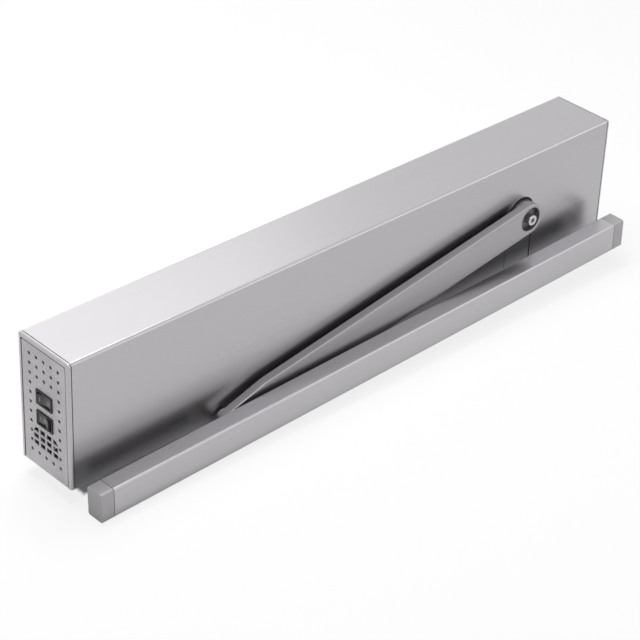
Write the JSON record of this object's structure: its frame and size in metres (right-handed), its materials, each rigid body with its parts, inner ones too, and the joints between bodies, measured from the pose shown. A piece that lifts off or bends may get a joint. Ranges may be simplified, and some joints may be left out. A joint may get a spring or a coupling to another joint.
{
  "type": "swing door operator",
  "caption": "Automatic swing door operator: long silver housing with a perforated switch end, and a flat arm whose pin slides in a channel rail.",
  "frame": {"origin": "centre of the four wall bolt holes, on the wall plate's wall face", "axes": "+X along the housing towards the end without switches, -Y out of the wide side that carries the arm, +Z away from the wall"},
  "size_m": [0.6876, 0.1064, 0.1466],
  "materials": {
    "anodised": "satin anodised",
    "end_cap": "satin silver paint",
    "end_plate": "fine textured silver paint",
    "zinc_steel": "zinc plated",
    "switch_black": "matte",
    "rocker_black": "semi gloss",
    "cast_aluminium": "as cast",
    "bright_steel": "ground",
    "black_steel": "blackened",
    "rubber": "matte",
    "gear_brass": "machined",
    "arm_paint": "satin silver paint",
    "screw_zinc": "bright zinc plated",
    "motor_black": "satin black",
    "supply_case": "sheet, satin",
    "board_green": "solder mask",
    "terminal_green": "matte",
    "sleeve_blue": "shrink sleeve",
    "relay_black": "semi gloss",
    "cooler_black": "black anodised",
    "nylon": "matte",
    "rail_cap": "satin silver paint"
  },
  "bodies": {
    "operator": {"wall_plate": "zinc_steel", "cover": "anodised", "notch_filler": "anodised", "left_end_cap": "end_cap", "vent_plate": "end_plate", "right_end_cap": "end_cap", "power_switch": "switch_black", "program_switch": "switch_black", "gear_frame": "cast_aluminium", "frame_screws": "screw_zinc", "front_bearing": "bright_steel", "rear_bearing": "bright_steel", "axle_seal": "rubber", "closer_spring": "black_steel", "spring_bracket": "zinc_steel", "rack_guide": "gear_brass", "inter_shaft": "bright_steel", "motor_bracket": "zinc_steel", "drive_motor": "motor_black", "motor_encoder": "switch_black", "power_supply": "supply_case", "control_board": "board_green", "board_standoffs": "gear_brass", "terminal_blocks": "terminal_green", "board_capacitors": "sleeve_blue", "board_relays": "relay_black", "board_heat_sink": "cooler_black"},
    "arm": {"drive_axle": "black_steel", "axle_gear": "gear_brass", "rack_pinion": "bright_steel", "arm_lever": "arm_paint", "arm_screw": "screw_zinc"},
    "slide_block": {"slide_pin": "bright_steel", "slide_block": "nylon"},
    "rail": {"slide_rail": "anodised", "left_rail_cap": "rail_cap", "right_rail_cap": "rail_cap", "rail_blocks": "cast_aluminium"},
    "rack": {"spring_rack": "bright_steel", "spring_rod": "bright_steel"},
    "intermediate": {"inter_gear": "gear_brass"},
    "motor_shaft": {"motor_pinion": "bright_steel"},
    "power_rocker": {"power_rocker": "rocker_black"},
    "program_rocker": {"program_rocker": "rocker_black"}
  },
  "joints": [
    {"name": "arm_swing", "type": "hinge", "parent": "operator", "child": "arm", "pos_m": [0.2175, -0.045, 0.067], "axis": [0, 1, 0], "range_deg": [0, 120], "stiffness_Nm_per_rad": 7.7, "springref_deg": -65.32},
    {"name": "block_pivot", "type": "hinge", "parent": "arm", "child": "slide_block", "pos_m": [-0.1733, -0.0588, 0.003], "axis": [0, 1, 0], "range_deg": [-60, 0]},
    {"name": "rail_slide", "type": "slide", "parent": "slide_block", "child": "rail", "axis": [0.9997, 0, 0.0262], "range_m": [-0.463, 0.117]},
    {"name": "rack_slide", "type": "slide", "parent": "operator", "child": "rack", "axis": [1, 0, 0], "range_m": [-0.0465, 0.0005], "deforming": ["closer_spring"]},
    {"name": "intermediate_spin", "type": "hinge", "parent": "operator", "child": "intermediate", "pos_m": [0.17693, 0.002, 0.07787], "axis": [0, 1, 0], "range_deg": [-441, 1]},
    {"name": "motor_spin", "type": "hinge", "parent": "operator", "child": "motor_shaft", "pos_m": [0.14369, 0.005, 0.08373], "axis": [0, 1, 0], "range_deg": [-2, 1260]},
    {"name": "power_rocker_tilt", "type": "hinge", "parent": "operator", "child": "power_rocker", "pos_m": [-0.3388, 0, 0.0756], "axis": [0, 0, 1], "range_deg": [-16, 0]},
    {"name": "program_rocker_tilt", "type": "hinge", "parent": "operator", "child": "program_rocker", "pos_m": [-0.3388, 0, 0.054], "axis": [0, 0, 1], "range_deg": [0, 16]}
  ],
  "couplings": [
    {"joint": "rack_slide", "follows": "arm_swing", "m_per_rad": -0.022},
    {"joint": "intermediate_spin", "follows": "arm_swing", "ratio": -3.6667},
    {"joint": "motor_spin", "follows": "arm_swing", "ratio": 10.476}
  ]
}
